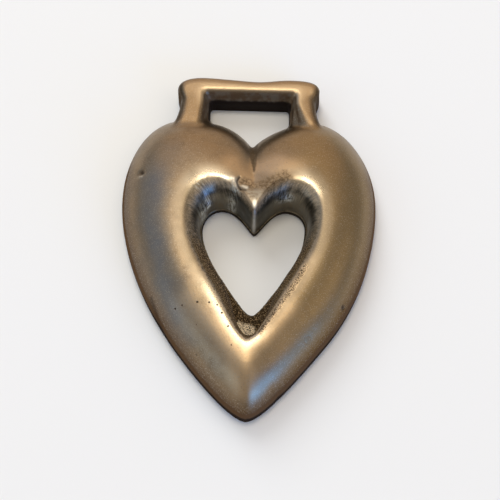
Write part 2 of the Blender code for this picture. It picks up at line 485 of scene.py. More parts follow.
def averaged(points, ends):
    """Each point's mean over the neighbours that edges join it to."""
    sums = np.zeros_like(points)
    counts = np.bincount(ends.ravel(), minlength=len(points))
    for axis in range(3):
        for one, other in (ends.T, ends.T[::-1]):
            sums[:, axis] += np.bincount(one, points[other, axis], len(points))
    return sums / counts[:, None]


def relax(points, ends, share, rounds):
    """Draw each point toward its neighbours' mean by its share, again and again."""
    for _ in range(rounds):
        points += (averaged(points, ends) - points) * share[:, None]


def gaps_to(tree, points):
    """Each point's distance from a surface, in millimetres."""
    return np.array([tree.find_nearest(point)[3] for point in place(points)]) / MM


points, ends = read_points()
seam_gap = np.maximum(gaps_to(heart_tree, points), gaps_to(loop_tree, points))
off_the_back = ramp(points[:, 2], 0, FLAT_BACK)
in_corner = (1 - ramp(seam_gap, 0, SEAM_REACH)) * off_the_back
relax(points, ends, in_corner, SEAM_ROUNDS)
relax(points, ends, off_the_back, EDGE_ROUNDS)
write_points(points)
print("points in the fillet:", int((in_corner > 0.5).sum()))

# %% [markdown]
# ## The hollow back
#
# A brass of this kind is cast thin: the back follows the front, about two millimetres
# behind it, which saves metal and weight. The hollow is a second loft between the same
# outlines, moved inward by the wall, and cut away with a Boolean. A Solidify modifier
# would thicken the wall evenly, but would not leave a flat rim to lie on.

# %% Hollow the back
RIM_WALL = 2.6
CREST_WALL = 2.3
CREST_WALL_SHIFT = 1.8
DISH_WALL = 1.7
HOLLOW_MOUTH = 0.15
HOLLOW_RAY_STEP = 3
HOLLOW_DOME_STEPS = 20
HOLLOW_WALL_STEPS = 14
WELD = 0.002


def toward(start, end, distance):
    """Each point of start, moved that distance toward its partner in end."""
    step = end - start
    return start + step / np.linalg.norm(step, axis=1, keepdims=True) * distance


def build_hollow():
    edge, crest, foot = (line[::HOLLOW_RAY_STEP] for line in (edge_line, crest_line, foot_line))
    outer = toward(edge, crest, RIM_WALL)
    inner = toward(foot, crest, DISH_WALL)
    ridge = toward(crest, edge, CREST_WALL_SHIFT)
    ceiling = with_height(ridge, crest_heights(crest) - CREST_WALL)
    rings = [with_height(outer, -CUTTER_OVERRUN), with_height(outer, HOLLOW_MOUTH)]
    rings += dome_section(rings[-1], ceiling, HOLLOW_DOME_STEPS)
    rings += dish_section(ceiling, with_height(inner, HOLLOW_MOUTH), HOLLOW_WALL_STEPS)
    rings.append(with_height(inner, -CUTTER_OVERRUN))
    faces = grid_faces(len(rings), len(edge), closed=True)
    return mesh_object("hollow", np.vstack(rings), faces)


boolean(brass, build_hollow(), "DIFFERENCE")
with edited(brass.data) as bm:
    bmesh.ops.remove_doubles(bm, verts=bm.verts, dist=WELD * MM)
    bmesh.ops.dissolve_degenerate(bm, edges=bm.edges, dist=WELD * MM)
    print("faces after hollowing:", len(bm.faces))
    print("edges left open:", sum(len(edge.link_faces) != 2 for edge in bm.edges))

# %% [markdown]
# ## Finer squares where the detail is
#
# The cleft between the lobes and the pocket at the opening's point carry marks that are
# only half a millimetre wide. Splitting just those squares keeps the rest of the mesh
# light, which a finer remesh of the whole casting would not.

# %% Split the squares of the cleft and the pocket
FINE_SPOTS = ((-0.2, 53.4, 5.4), (0.2, 22.8, 3.6))  # x, y and reach
SKIN_GAP = 0.1
FINE_ROUNDS = 2


def inside_a_spot(points):
    """True for a point of the outer skin that lies in one of the spots."""
    inside = [np.hypot(*(points[:, :2] - (x, y)).T) < reach for x, y, reach in FINE_SPOTS]
    on_front = (points[:, 2] > FLAT_BACK) & (gaps_to(joined_tree, points) < SKIN_GAP)
    return np.any(inside, axis=0) & on_front


fine = inside_a_spot(read_points()[0])
with edited(brass.data) as bm:
    chosen = [edge for edge in bm.edges if all(fine[vert.index] for vert in edge.verts)]
    bmesh.ops.subdivide_edges(bm, edges=chosen, cuts=1, use_grid_fill=True)
    print("edges split:", len(chosen))
points, ends = read_points()
fine = inside_a_spot(points)
relax(points, ends, fine, FINE_ROUNDS)
write_points(points)
print("faces now:", len(brass.data.polygons))

# %% [markdown]
# ## A soft cleft
#
# Between the lobes the moulder's thumb has rubbed two places round: the notch that comes
# down from the loop, and the ridge that runs from the crest into the opening. Averaging
# the points there many times does the same. A line with a reach says where. A bevel
# would need a clean edge, and there is none here.

# %% Round the cleft and the notch
NOTCH = ((0.2, 67.2), (0.3, 63), (0.5, 59))
NOTCH_REACH = 1.5
NOTCH_ROUNDS = 16
RIDGE = ((0.75, 51.4), (0.78, 48))
RIDGE_REACH = 0.8
RIDGE_ROUNDS = 5
RIDGE_FLOOR = (1.2, 3.5)


def line_share(points, line, reach):
    """1 on a line of short straight pieces, falling away over its reach.

    A line of (x, y) marks the whole depth below it, one of (x, y, z) only its own height.
    """
    line = np.array(line)
    points = points[:, : line.shape[1]]
    nearest = np.full(len(points), np.inf)
    for start, end in zip(line, line[1:]):
        along = end - start
        share = np.clip(((points - start) @ along) / (along @ along), 0, 1)
        step = points - start - share[:, None] * along
        nearest = np.minimum(nearest, (step ** 2).sum(axis=1))
    return np.exp(-nearest / reach ** 2)


above_floor = ramp(points[:, 2], *RIDGE_FLOOR)
rounding = line_share(points, RIDGE, RIDGE_REACH) * above_floor * fine
relax(points, ends, rounding, RIDGE_ROUNDS)
above_floor = ramp(points[:, 2], *RIDGE_FLOOR)
relax(points, ends, line_share(points, NOTCH, NOTCH_REACH) * above_floor, NOTCH_ROUNDS)
write_points(points)
print("points rounded on the ridge:", int((rounding > 0.5).sum()))

# %% [markdown]
# ## Where each point lies on the pattern
#
# Marks and patina belong to places: the crest is bright, the dish is dark, and file
# strokes run from the crest down to the opening. So each point of the skin asks the
# heart's own grid where it is. Its section number is 0 to 1 on the upright side, to
# 2 at the crest, to 3 at the foot of the dish and to 4 at the lip. Its turn says which
# way round the heart it lies.

# %% Section number and turn of each point
SKIN_FADE = (0.2, 0.5)
SHORTEST = 1e-9


def pattern_places(points):
    """Section number and turn, from the square of the heart's grid under each point."""
    count, rays = heart_grid.shape[:2]
    found = [heart_tree.find_nearest(point) for point in place(points)]
    ring, ray = np.divmod(np.array([hit[2] for hit in found]), rays)
    spot = np.array([tuple(hit[0]) for hit in found]) / MM + (CENTRE_X, CENTRE_Y, 0)
    corner = heart_grid[ring, ray]
    up = heart_grid[(ring + 1) % count, ray] - corner
    along = heart_grid[ring, (ray + 1) % rays] - corner
    zones = np.append(heart_zones, heart_zones[-1])
    shares = []
    for side in (up, along):
        reach = np.maximum((side * side).sum(axis=1), SHORTEST)
        shares.append(np.clip(((spot - corner) * side).sum(axis=1) / reach, 0, 1))
    section = zones[ring] + shares[0] * (zones[ring + 1] - zones[ring])
    return section, (ray + shares[1]) * 2 * math.pi / rays


section, turn = pattern_places(points)
heart_gap = gaps_to(heart_tree, points)
slot_gap = gaps_to(slot_tree, points)
on_skin = 1 - ramp(gaps_to(joined_tree, points), *SKIN_FADE)
print("points on the crest:", int((abs(section - 2) < 0.05).sum()))

# %% [markdown]
# ## Marks of casting and use
#
# A real brass is never smooth. The file left the faces slightly uneven, sand left rough
# patches in the corners that no file reached, and years on a harness added dents. All of
# these move the points along their normals. A mark is a short line with a reach and a
# lift, so that each one is a row in a table. Sculpting would look the same, but a row
# can be moved and measured.

# %% Uneven faces and rough patches
FILE_WAVE = 6.5
FILE_WAVE_LIFT = 0.05
CARVED_WAVE = 2.4
CARVED_LIFT = 0.13
SAND_GRAIN = 0.75
SAND_LIFT = 0.09
CARVED_SHIFT = 9
SAND_SHIFT = 4
DISH_START = (2.1, 2.35)
DISH_END = (4, 4.3)
CREST_SAND = ((2.6, 18.2), (5.6, 22.6), (9.8, 29), (12.6, 34.2))
CREST_SAND_REACH = 0.9
CAST_PATCH = ((-1.4, 55.2), (0.7, 53.4), (3.5, 55), (7.6, 57))
CAST_PATCH_REACH = 2.2
CAST_PATCH_SAND = 0.6
POCKET_START = (2.6, 2.95)
POCKET_TOP = (25.6, 27.4)


def rough_field(points, size, shift=0):
    """Smooth random heights from -1 to 1, with bumps about size across."""
    start = Vector((shift, shift, shift))
    return np.array([noise.noise(Vector(p) / size + start) for p in points])


above_lip = 1 - ramp(section, *DISH_END)
in_dish = ramp(section, *DISH_START) * above_lip
below_top = 1 - ramp(points[:, 1], *POCKET_TOP)
in_pocket = ramp(section, *POCKET_START) * above_lip * below_top
crest_sand = line_share(points, CREST_SAND, CREST_SAND_REACH)
cast_patch = line_share(points, CAST_PATCH, CAST_PATCH_REACH)
sand = np.clip(in_pocket + crest_sand + CAST_PATCH_SAND * cast_patch, 0, 1)
lift = FILE_WAVE_LIFT * rough_field(points, FILE_WAVE)
lift += CARVED_LIFT * in_dish * rough_field(points, CARVED_WAVE, CARVED_SHIFT)
lift += SAND_LIFT * sand * rough_field(points, SAND_GRAIN, SAND_SHIFT)
print("largest unevenness in mm:", round(float(abs(lift).max()), 3))

# %% Dents, the gouge and other single marks
Mark = namedtuple("Mark", "name reach lift line")
MARKS = [Mark(*row) for row in (
    ("dent on the left lobe", 0.65, -0.36, ((-26.2, 59), (-26, 58.6))),
    ("burr of that dent", 0.4, 0.06, ((-26.5, 57.6), (-26, 57.5))),
    ("pit on the right flank", 0.5, -0.22, ((21.4, 26.8, 5.3), (21.6, 26.4, 5.2))),
    ("gouge", 0.22, -0.26, ((-2.9, 57), (-3.5, 55.7), (-3.2, 54.5), (-2.6, 53.6))),
    ("metal pushed up by it", 0.4, 0.16, ((-4.1, 56.7), (-4.2, 55.3), (-3.9, 54.4))),
    ("flat beside the gouge", 0.9, -0.07, ((-2.2, 55.9), (-1.5, 55.3))),
    ("lower edge of that flat", 0.32, 0.16, ((-2.5, 54.6), (-1, 54.5))),
    ("chips below it", 0.28, -0.16, ((-2.4, 53.7), (-1.4, 53.6))),
    ("scoop in the left post", 1.2, -0.28, ((-18.5, 81.4, 5), (-18.2, 80.4, 6.2))),
    ("scoop in the right post", 1.3, -0.45, ((16.2, 82.4, 4.6), (15.3, 81, 6.4))),
    ("flat on the lower rim", 1, -0.16, ((6.4, 6.3), (7.3, 5.8))),
    ("right bump in the dish", 1.2, 0.28, ((5.9, 54.3), (6.1, 53.7))),
    ("hollow beside it", 1.1, -0.22, ((8.6, 54.4), (8.5, 53.8))),
    ("left bump in the dish", 1, 0.15, ((-12.6, 52.2), (-12, 51.4))),
    ("left step in the dish", 1.1, 0.38, ((-11.9, 50.4, 4.6), (-9.9, 52.2, 4.9))),
    ("right step in the dish", 1.1, 0.4, ((6.7, 53.9, 6.2), (8.6, 53.6, 6.2))),
    ("line along the left rim", 0.4, -0.12, ((-22.4, 28), (-20.7, 23.4), (-18.8, 19.3))),
)]
for mark in MARKS:
    lift += mark.lift * line_share(points, mark.line, mark.reach)
print("marks:", ", ".join(mark.name for mark in MARKS))

# %% The lip round the opening, and the lift itself
LIP_REACH = 0.3
LIP_LIFT = 0.1

lip_tree = kdtree.KDTree(len(lip))
for i, point in enumerate(lip):
    lip_tree.insert(point, i)
lip_tree.balance()
lip_share = np.array([math.exp(-((lip_tree.find(p)[2] / LIP_REACH) ** 2)) for p in points])
lift += LIP_LIFT * lip_share

lift *= on_skin * ramp(points[:, 2], 0, FLAT_BACK)
write_points(points + read(brass.data.vertices, "normal", 3) * lift[:, None])
brass.data.shade_smooth()
print("lift from", round(float(lift.min()), 2), "to", round(float(lift.max()), 2), "mm")

# %% [markdown]
# ## Masks for the finish
#
# The shader needs to know the places too: where the dish begins, where sand stayed,
# where highlights, reflections and shade are painted. Each place is stored on the mesh
# as a named attribute, one number for each point, and an Attribute node reads it back.
# Many are lines with a reach, as the marks were, so they too are rows in a table.
# Painting them by hand would look much the same, but could not be made again from the
# script.

# %% Store the places that follow a line
LINE_MASKS = {  # reach, lines
    "scrapes": (0.13, ((-9.3, 10.9), (-7.9, 9), (-6.3, 7.3)), ((-6.3, 7.9), (-4.6, 5.6))),
    # painted reflection: a pale streak down the steep drop of the ridge
    "ridge_reflection": (0.35, ((0.8, 48.3), (0.8, 47.3))),
    # painted highlights: the bright end of the crest, and a glint on the flaw beside the gouge
    "crest_end": (0.55, ((-6.4, 56.6), (-4.2, 56.2), (-3.9, 54.6))),
    "flaw_shine": (0.35, ((-2, 54.6), (-1.2, 54.3))),
    "cleft_sides": (1.25, ((-3.4, 53), (-0.5, 48.4)), ((4.6, 53.6), (2, 48.6))),
    "cleft_crest": (1.1,
        ((-4.4, 55.6), (-2, 53.6), (-0.4, 50.4), (0.7, 48.6), (1.9, 50.4), (3.1, 53.4),
         (6.4, 56.2))),
    "post_shade": (0.95,
        ((-18.3, 84), (-17.7, 80), (-18.4, 75)),
        ((16, 83.2), (15.3, 79.5), (15.9, 75))),
    # painted reflections of cool light in the dish
    "blue_reflections": (1.35,
        ((-11.4, 52.5, 7.6), (-10.6, 51.7, 5.4)),
        ((7.3, 53.9, 7.6), (8.1, 53.7, 7))),
    # painted reflections: pale grey spots in the dish
    "pale_reflections": (1.1,
        ((-4.3, 53), (-3.1, 54.4)),
        ((-12.9, 54.6), (-12.4, 55.4)),
        ((-11.6, 49.6), (-11.2, 50.6))),
    # painted reflection of cool light on the left flank
    "flank_reflection": (3.3,
        ((-22.6, 57), (-23.2, 47), (-21.8, 36.5), (-19.4, 27.5), (-15.4, 18.5))),
    "worn": (2.3,
        ((-9.6, 29), (-8.1, 26.5), (-3.9, 19.6), (-0.2, 15.6), (2.4, 17.6)),
        ((-14, 55.4), (-10.3, 57.5), (-7, 57.2)),
        ((12.8, 57), (15.8, 53.8))),
    # painted highlight: lighter tan where the lamp's highlight spreads over the dome
    "dome_highlight": (2.4,
        ((-13.5, 26), (-9.6, 21.5), (-6.2, 17.5), (-3.2, 13.2), (-0.8, 8.6)),
        ((-4.6, 61), (-4.2, 58), (-5.4, 56.4)),
        ((6.4, 60.6), (9.6, 59.6)),
        ((-7.2, 57.4), (-4.2, 56.6), (-1.2, 56.6)),
        ((2, 60.4), (4.6, 60.2)),
        ((-0.9, 14), (-0.6, 9), (-0.4, 5.4)),
        ((3.6, 17.4), (6.2, 20.6), (8.6, 24))),
    # painted shade: darker along the crest's sides, where the highlight stays dim
    "crest_shade": (1.7,
        ((-13.8, 57.4), (-14.6, 53), (-14.6, 47), (-13.6, 40), (-12.4, 35.5)),
        ((14.6, 58.6), (16.6, 55), (17.2, 49), (16.6, 43), (15, 38.5)),
        ((-10.8, 29), (-9.9, 25.4))),
}


def store(name, values, kind="FLOAT", field="value"):
    layer = brass.data.attributes.new(name, kind, "POINT")
    layer.data.foreach_set(field, np.ascontiguousarray(values, dtype=np.float32).ravel())


for name, (reach, *lines) in LINE_MASKS.items():
    store(name, np.clip(sum(line_share(points, line, reach) for line in lines), 0, 1))
print("places along lines:", len(LINE_MASKS))

# %% The ridge between the lobes, and the stain and painted shade in the notch
NOTCH_STAIN_SHADE = ((-2.6, 68.8), (0.2, 64.5), (2.6, 68.4))
NOTCH_STAIN_SHADE_REACH = 1.1
STAIN_SHADE_FOOT = ((0.2, 66), (0.3, 63), (0.5, 59.2))
STAIN_SHADE_FOOT_WIDTHS = (1.3, 0.9, 0.3)
SADDLE = ((0.55, 54.4), (0.85, 51.4), (0.85, 49.8), (0.78, 48.2))
SADDLE_WIDTHS = (2.8, 1.6, 0.9, 0.4)
TAPER_EDGE = (0.55, 1.3)
TAPER_FADE = 0.8
TAPER_ABOVE = 6
RIDGE_TOP = (50.2, 52)
RIDGE_TOP_END = (53, 54.6)
RIDGE_SHINE = (0.78, 50.2)
RIDGE_SHINE_SIZE = (0.62, 1.35)
RIDGE_SHINE_FLOOR = 6


def tapered_share(points, line, half_widths):
    """1 along a line whose width changes from point to point, 0 outside it."""
    line = np.array(line)
    x, y = points[:, 0], points[:, 1]
    middle = np.interp(y, line[::-1, 1], line[::-1, 0])
    width = np.interp(y, line[::-1, 1], half_widths[::-1])
    inside = 1 - ramp(abs(x - middle) / width, *TAPER_EDGE)
    foot = line[-1, 1]
    return inside * ramp(y, foot - TAPER_FADE, foot) * (y < line[0, 1] + TAPER_ABOVE)


# The notch is darker in its crease: a stain, and painted shade where its sides face each other.
stain_shade_top = line_share(points, NOTCH_STAIN_SHADE, NOTCH_STAIN_SHADE_REACH)
stain_shade_foot = tapered_share(points, STAIN_SHADE_FOOT, STAIN_SHADE_FOOT_WIDTHS)
saddle = tapered_share(points, SADDLE, SADDLE_WIDTHS)
top_start = ramp(points[:, 1], *RIDGE_TOP)
top_end = 1 - ramp(points[:, 1], *RIDGE_TOP_END)
off_shine = (points[:, :2] - RIDGE_SHINE) / RIDGE_SHINE_SIZE
store("notch_stain_and_shade", np.maximum(0.8 * stain_shade_top, 0.9 * stain_shade_foot))
store("saddle", saddle)
# painted highlight: the lighter top of the ridge
store("ridge_top", top_start * top_end * saddle)
print("points in the saddle:", int((saddle > 0.5).sum()))
# painted highlight: the bright spot on the ridge
store("ridge_shine", np.exp(-(off_shine ** 2).sum(axis=1)) * (points[:, 2] > RIDGE_SHINE_FLOOR))

# %% The other places
STREAK_TURNS = 34
STREAK_RUN = 4
LOOP_FADE = (0.05, 0.7)
SLOT_FACE_GAP = (0.1, 0.45)
SLOT_EDGE_REACH = 1.1
SLOT_EDGE_TOP = (77, 82.5)
SMALL_REACH = 1
FULL_DENT = 0.3


def mark_share(mark):
    """A small mark's share: a dent's grows with its depth, a burr's is whole."""
    depth = min(-mark.lift / FULL_DENT, 1) if mark.lift < 0 else 1
    return line_share(points, mark.line, mark.reach) * depth


small_marks = [mark for mark in MARKS if mark.reach < SMALL_REACH]
dents = sum(mark_share(mark) for mark in small_marks if mark.lift < 0)
burrs = sum(mark_share(mark) for mark in small_marks if mark.lift > 0)
loop_share = ramp(heart_gap, *LOOP_FADE)
# The slot's edge carries a painted highlight along the bar.
slot_edge = np.exp(-((slot_gap / SLOT_EDGE_REACH) ** 2)) * loop_share
for name, values in {
    "section": section,
    "loop": loop_share,
    "slot": (1 - ramp(slot_gap, *SLOT_FACE_GAP)) * loop_share,
    "slot_edge": slot_edge * ramp(points[:, 1], *SLOT_EDGE_TOP),
    "hollow": 1 - on_skin,
    "sand": sand,
    "crest_sand": crest_sand,
    "cast_patch": cast_patch,
    "pocket": in_pocket,
    "lip": lip_share,
    "dents": np.clip(dents, 0, 1),
    "burrs": np.clip(burrs, 0, 1),
}.items():
    store(name, values)
around = np.column_stack((np.cos(turn), np.sin(turn))) * STREAK_TURNS
streaks = np.column_stack((around, section * STREAK_RUN))
store("streaks", streaks, "FLOAT_VECTOR", "vector")
print("values for each point:", len(brass.data.attributes))

# %% [markdown]
# ## Shader arithmetic
#
# A finish like this one is mostly arithmetic on masks: dark here, but not where it is
# rubbed. One small class wraps a node's output, so that a Python expression such as
# `dish * (1 - polish)` adds its own Math nodes. A graph drawn by hand would be the same
# nodes, only harder to read.

# %% A wire that knows arithmetic
finish = bpy.data.materials.new("aged_brass")
finish.use_nodes = True
tree = finish.node_tree
tree.nodes.clear()


class Wire:
    """The output of a node. Arithmetic on it adds the node that works it out."""

    def __init__(self, socket):
        self.socket = socket

    __add__ = __radd__ = lambda self, other: arithmetic("ADD", self, other)
    __sub__ = lambda self, other: arithmetic("SUBTRACT", self, other)
    __rsub__ = lambda self, other: arithmetic("SUBTRACT", other, self)
    __mul__ = __rmul__ = lambda self, other: arithmetic("MULTIPLY", self, other)


def is_number(side):
    if isinstance(side, Wire):
        return side.socket.type == "VALUE"
    return not isinstance(side, tuple)


def arithmetic(operation, first, second):
    """A Math node between two numbers, and a Vector Math node for anything else."""
    numbers = is_number(first) and is_number(second)
    kind = "Math" if numbers else "VectorMath"
    return add_node(kind, {"operation": operation}, {0: first, 1: second})


def set_sockets(node, sockets):
    for name, value in sockets.items():
        if isinstance(value, Wire):
            tree.links.new(value.socket, node.inputs[name])
        else:
            node.inputs[name].default_value = value


def add_node(kind, settings, sockets, output=0):
    """One node: its settings first, then the values or links of its sockets."""
    node = tree.nodes.new("ShaderNode" + kind)
    for name, value in settings.items():
        setattr(node, name, value)
    set_sockets(node, sockets)
    return Wire(node.outputs[output]) if node.outputs else node

# %% Helpers for masks and colours
def soft(value, low, high):
    """The same smooth ramp, as a node."""
    sockets = {"Value": value, "From Min": low, "From Max": high}
    return add_node("MapRange", {"interpolation_type": "SMOOTHSTEP"}, sockets)


def fade(value, low, high):
    """1 below low, 0 above high, smooth between."""
    return 1 - soft(value, low, high)


def sway(noise_wire, amount):
    """Noise as a push up or down by at most half the amount."""
    return (noise_wire - 0.5) * amount


def painted(share, below, above):
    """One colour over another, by a share from 0 to 1."""
    sockets = {0: share, 6: below, 7: above}
    return add_node("Mix", {"data_type": "RGBA"}, sockets, 2)


def coated(colour, coats):
    """A colour under coats, each of them a share and the colour that it lays on."""
    for share, paint in coats:
        colour = painted(share, colour, paint)
    return colour

# %% [markdown]
# ## Aged brass
#
# Old brass on a harness is not yellow. Handling keeps the high crest bright, the dome
# turns a warm tan, and the carved dish, which no cloth reaches, goes dark olive. The
# upright rims are reddish brown, partly patina and partly painted shade, and near-black
# sits in the corners: grime, and painted shade where the light does not reach. Some
# coats are painted light outright: highlights on the ridge, the lip and the bar, and
# reflections of cool light on the left flank and in the dish. The finish is painted in
# that order, from the bare metal to the dirt and shade on top, each coat through its own
# mask. A single colour with one noise on it would read as plastic.

# %% Places and noises that the coats share
OBJECT_OUTPUT = 3
NORMAL_OUTPUT = 1


def stored(name, output=2):
    """A mask that was stored on the mesh."""
    return add_node("Attribute", {"attribute_name": name}, {}, output)


def along_axis(vector, axis):
    return add_node("SeparateXYZ", {}, {0: vector}, axis)


def speckle(where, per_mm, detail, rough=0.5):
    """Noise from 0 to 1 with about per_mm bumps to a millimetre."""
    sockets = {"Vector": where, "Scale": per_mm, "Detail": detail, "Roughness": rough}
    return add_node("TexNoise", {}, sockets)


spot = add_node("TexCoord", {}, {}, OBJECT_OUTPUT) * (1 / MM, 1 / MM, 1 / MM)
x_mm, y_mm, height_mm = (along_axis(spot, axis) for axis in range(3))
facing_up = along_axis(add_node("TexCoord", {}, {}, NORMAL_OUTPUT), 2)
zone = stored("section")
cloud = speckle(spot, 0.16, 3)
blotch = speckle(spot, 0.45, 4, 0.6)
freckle = speckle(spot, 1.6, 3, 0.6)
grit = speckle(spot, 4, 2, 0.6)
grain = speckle(spot, 6, 2)
streak = speckle(stored("streaks", output=1), 1, 3, 0.65)
ragged = sway(freckle, 0.3) + sway(blotch, 0.2)

# %% [markdown]
# ## Where each coat lies
#
# A coat covers a band of the section number or of a height in millimetres. Its edge is
# never clean on real metal, so the noises push the band about before it is cut off. A
# stencil would leave the same edge all the way round.

# %% Masks of the dome, the crest and the dish
LIP_ZONE = (3.9, 4)
DISH_ZONE = (2.05, 2.22)
WALL_ZONE = (2.2, 2.42)
CREST_ZONE = (1.86, 1.985)
CREST_END_ZONE = (2.06, 2.2)
CLEFT_CREST_ZONE = (1.98, 2)
POINT_ZONE = (2.05, 2.17)
POINT_LEDGE_ZONE = (2.16, 2.34)

loop_mask = stored("loop")
heart_mask = 1 - loop_mask
slot_mask = stored("slot") * fade(facing_up, 0.45, 0.8)
slot_edge = stored("slot_edge") * soft(facing_up, 0.5, 0.9)
crest_sand_mask = stored("crest_sand")
worn = stored("worn")
cast_mask = stored("cast_patch")
before_lip = fade(zone, *LIP_ZONE) * heart_mask
point_zone = zone + ragged * 0.35 - soft(x_mm, 0, 3) * 0.05
point_mask = fade(y_mm, -6, 5) * soft(point_zone, *POINT_ZONE) * before_lip
point_ledge = point_mask * fade(point_zone, *POINT_LEDGE_ZONE)
dish_mask = soft(zone + ragged - stored("saddle"), *DISH_ZONE) * before_lip
dish_mask = soft(dish_mask + point_mask, 0, 1)
upper_wall = dish_mask * fade(zone + sway(freckle, 0.3), *WALL_ZONE) * (1 - point_mask)
polish_mask = soft(zone, *CREST_ZONE) * fade(zone + ragged * 0.5, *CREST_END_ZONE) * heart_mask
polish_mask *= (1 - soft(cast_mask, 0.2, 0.8) * 0.8) * (1 - crest_sand_mask * 0.5)
print("nodes so far:", len(tree.nodes))

# %% Masks of the rims, the lip and the corners
RIM_ZONE = (1.3, 1.5)
FLANK_ZONE = (1.08, 1.4)
RIM_EDGE_ZONE = (1.03, 1.12)
DISH_FOOT_ZONE = (2.7, 2.92)
DISH_FOOT_END_ZONE = (3, 3.15)
LIP_LINE_ZONE = (3.25, 3.4)
LIP_LINE_END_ZONE = (3.55, 3.7)
LAND_ZONE = (3.92, 4)

upper = soft(y_mm, 0, 3)
far_edge = soft(y_mm, 14, 24)
# Upright faces get reddish brown: rim patina, and painted shade on faces that turn away from
# the light, less on the far edge.
upright = fade(facing_up, 0.15, 0.55) * (1 - soft(zone, *RIM_ZONE) * heart_mask)
rim_edge_band = fade(zone + ragged * 0.12, *RIM_EDGE_ZONE) * heart_mask * (1 - far_edge * 0.8)
rim_mask = soft(upright * (1 - slot_mask) + rim_edge_band, 0, 1)
rim_mask *= 1 - far_edge * heart_mask * 0.8
# Near-black at the rim's foot: grime, and a painted contact shadow by the paper, deepest on the
# near side.
rim_grime_and_shadow = height_mm + sway(freckle, 0.8) - fade(y_mm, -16, -8) * 1.2
rim_grime_and_shadow = rim_mask * fade(rim_grime_and_shadow, 0.8, 1.5)
flank_mask = fade(zone + ragged * 0.4 + far_edge * 0.22, *FLANK_ZONE) * heart_mask
# Painted shade: a dark line in the crease at the foot of the pocket.
dish_foot_shade = soft(zone, *DISH_FOOT_ZONE) * fade(zone, *DISH_FOOT_END_ZONE)
dish_foot_shade *= fade(y_mm, -22.8, -21.2) * heart_mask
# Painted highlight: a light line on the lip round the opening.
lip_line = soft(zone, *LIP_LINE_ZONE) * fade(zone, *LIP_LINE_END_ZONE) * upper * heart_mask
lip_highlight_mask = soft(stored("lip") * (1 - upper) + lip_line, 0, 1) * soft(freckle, 0.3, 0.6)
# Near-black on the opening's thin upright edge: grime and painted shade, wider on the far side.
land_mask = soft(zone + upper * 0.25, *LAND_ZONE) * heart_mask
# Painted shade: the back half of the slot near black.
slot_deep = slot_mask * fade(height_mm + sway(blotch, 1.2), 3.9, 4.7)
# Stain and painted shade in the notch's crease.
notch_stain_shade_mask = soft(stored("notch_stain_and_shade") + sway(freckle, 0.6) + sway(grain, 0.4), 0.1, 1.15)
dents_mask = stored("dents")
sand_mask = stored("sand")
back_mask = stored("hollow")

# %% Pits, a ring and the light spot in the pocket
PITS = (  # x, y, height and radius
    (-16.5, 24, 8.5, 0.3),
    (-14.9, 24.5, 9.5, 0.24),
    (-11.5, 24.9, 10.6, 0.3),
    (-8.8, 24.8, 10.9, 0.24),
    (-7, 24.2, 10.9, 0.24),
    (-5.9, 22.3, 10.9, 0.28),
    (-4.4, 19.2, 10.9, 0.26),
    (-11.6, 19.8, 9.7, 0.24),
    (-3.6, 14.8, 10.9, 0.26),
    (-11.4, 13.7, 6.8, 0.24),
    (-17.2, 79.8, 7, 0.26),
)
PIT_EDGE = 0.6
LIGHT_SPOT = (-0.3, 22, 1.4)
LIGHT_SPOT_EDGE = (1.5, 2.4)
UPPER_SPOT = (-1.9, 23.3, 1.6)
UPPER_SPOT_EDGE = (0.7, 1.5)
RING_CENTRE = (13.5, 17.7, 7.6)
RING_RADIUS = 0.9
RING_WIDTH = 0.35
RING_FLAT = 0.2


def distance_to(x, y, z):
    """Distance from a place in the drawing, in millimetres."""
    sockets = {0: spot, 1: tuple(place([(x, y, z)])[0] / MM)}
    return add_node("VectorMath", {"operation": "DISTANCE"}, sockets, 1)


spot_edge = sway(freckle, 1.6) + sway(grit, 1.2)
light_spot = fade(distance_to(*LIGHT_SPOT) + spot_edge, *LIGHT_SPOT_EDGE)
upper_spot = fade(distance_to(*UPPER_SPOT) + spot_edge, *UPPER_SPOT_EDGE)
light_spot = soft(light_spot + upper_spot, 0, 1)
pits_mask = sum(fade(distance_to(*pit), radius * PIT_EDGE, radius) for *pit, radius in PITS)
from_ring = distance_to(*RING_CENTRE)
ring_gap = add_node("Math", {"operation": "ABSOLUTE"}, {0: from_ring - RING_RADIUS})
ring_mask = fade(ring_gap, 0, RING_WIDTH)
ring_middle = fade(from_ring, RING_FLAT, RING_RADIUS)
print("nodes so far:", len(tree.nodes))

# %% Coats of the dome, the loop and the crest
TAN = (0.298, 0.212, 0.127, 1)
TAN_GREY = (0.25, 0.185, 0.12, 1)
TAN_OCHRE = (0.275, 0.19, 0.09, 1)
DOME_HIGHLIGHT_TAN = (0.53, 0.37, 0.22, 1)
BROWN = (0.16, 0.105, 0.06, 1)
REFLECTION_GREY = (0.205, 0.185, 0.165, 1)
FLANK_BROWN = (0.112, 0.068, 0.036, 1)
FLANK_OCHRE = (0.115, 0.058, 0.015, 1)
LOOP_TAN = (0.345, 0.238, 0.138, 1)
POST_TAN = (0.262, 0.174, 0.096, 1)
BAR_HIGHLIGHT = (0.52, 0.39, 0.25, 1)
CREST_TAN = (0.36, 0.28, 0.19, 1)
RUBBED_AND_HIGHLIGHT = (0.55, 0.47, 0.36, 1)
CREST_SHADE_BROWN = (0.2, 0.155, 0.1, 1)
SCRAPED = (0.62, 0.55, 0.42, 1)

# Painted reflection too: the right side is warmer, as only the left side mirrors cool light.
right_side = soft(x_mm, 2, 16)
flank_paint = painted(right_side, FLANK_BROWN, FLANK_OCHRE)
loop_paint = painted(soft(y_mm, 36.5, 39.5), POST_TAN, LOOP_TAN)
